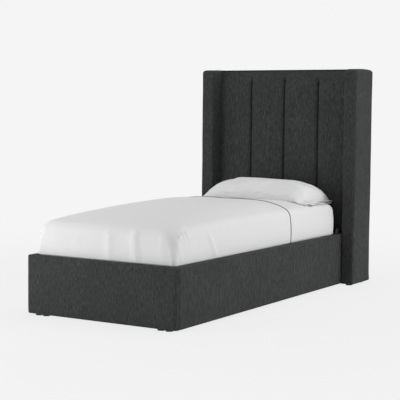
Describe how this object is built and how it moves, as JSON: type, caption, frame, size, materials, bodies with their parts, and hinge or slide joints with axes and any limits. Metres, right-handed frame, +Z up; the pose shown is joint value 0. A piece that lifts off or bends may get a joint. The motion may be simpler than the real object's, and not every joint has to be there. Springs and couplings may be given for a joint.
{
  "type": "single storage bed",
  "caption": "Upholstered single bed with a tall channelled, winged headboard, white bedding, and a mattress platform that lifts at the foot over a storage box.",
  "frame": {"origin": "on the floor under the middle of the bed: bottom centre of the overall box", "axes": "+Y from the foot to the headboard, +X to the right of someone looking from the foot to the headboard, +Z up"},
  "size_m": [1.18, 2.3, 1.435],
  "materials": {
    "charcoal_linen": "matte",
    "black_backing": "matte",
    "pine": "matte",
    "plywood": "matte",
    "birch_slat": "satin",
    "zinc_steel": "satin",
    "grey_steel": "satin",
    "black_steel": "satin",
    "black_plastic": "matte",
    "rubber": "matte",
    "webbing": "matte",
    "strut_black": "gloss",
    "strut_chrome": "gloss",
    "mattress_ticking": "matte",
    "white_cotton": "matte",
    "grey_piping": "matte"
  },
  "bodies": {
    "bed_frame": {"side_rail_left": "pine", "side_rail_right": "pine", "foot_rail": "pine", "head_rail": "pine", "rail_cover_left": "charcoal_linen", "rail_cover_right": "charcoal_linen", "foot_cover": "charcoal_linen", "corner_brackets": "zinc_steel", "corner_bolts": "zinc_steel", "head_brackets": "zinc_steel", "head_bolts": "zinc_steel", "floor_battens": "pine", "floor_panel_foot": "black_backing", "floor_panel_head": "black_backing", "platform_battens": "pine", "stop_pads": "rubber", "glides": "black_plastic", "hinge_plate_left": "grey_steel", "hinge_plate_right": "grey_steel", "hinge_screws": "zinc_steel", "hinge_washers": "black_plastic", "headboard_post_left": "pine", "headboard_post_right": "pine", "headboard_top_rail": "pine", "headboard_middle_rail": "pine", "headboard_bottom_rail": "pine", "headboard_ply": "plywood", "channel_pad_1": "charcoal_linen", "channel_pad_2": "charcoal_linen", "channel_pad_3": "charcoal_linen", "channel_pad_4": "charcoal_linen", "headboard_border": "charcoal_linen", "headboard_back_cloth": "black_backing", "wing_board_left": "pine", "wing_board_right": "pine", "wing_cover_left": "charcoal_linen", "wing_cover_right": "charcoal_linen", "wing_bolts": "zinc_steel"},
    "platform": {"platform_tube_left": "black_steel", "platform_tube_right": "black_steel", "platform_head_tube": "black_steel", "platform_middle_tube": "black_steel", "platform_foot_tube": "black_steel", "lift_arm_left": "grey_steel", "lift_arm_right": "grey_steel", "arm_bolts": "zinc_steel", "slats": "birch_slat", "slat_caps": "black_plastic", "pull_strap": "webbing", "mattress": "mattress_ticking", "fitted_sheet": "white_cotton", "top_sheet": "white_cotton", "sheet_piping": "grey_piping", "pillow": "white_cotton"},
    "strut_cylinders": {"strut_cylinder_left": "strut_black", "strut_cylinder_right": "strut_black"},
    "strut_rods": {"strut_rod_left": "strut_chrome", "strut_rod_right": "strut_chrome"}
  },
  "joints": [
    {"name": "platform_lift", "type": "hinge", "parent": "bed_frame", "child": "platform", "pos_m": [0, 0.925, 0.35], "axis": [-1, 0, 0], "range_deg": [0, 26], "deforming": ["pillow"]},
    {"name": "strut_swing", "type": "hinge", "parent": "bed_frame", "child": "strut_cylinders", "pos_m": [0, 0.91, 0.06], "axis": [-1, 0, 0], "range_deg": [0, 18.1]},
    {"name": "strut_stroke", "type": "slide", "parent": "strut_cylinders", "child": "strut_rods", "axis": [0, -0.9185, 0.3955], "range_m": [0, 0.1165]}
  ],
  "couplings": [
    {"joint": "strut_swing", "follows": "platform_lift", "ratio": 0.6933},
    {"joint": "strut_stroke", "follows": "platform_lift", "m_per_rad": 0.256}
  ]
}
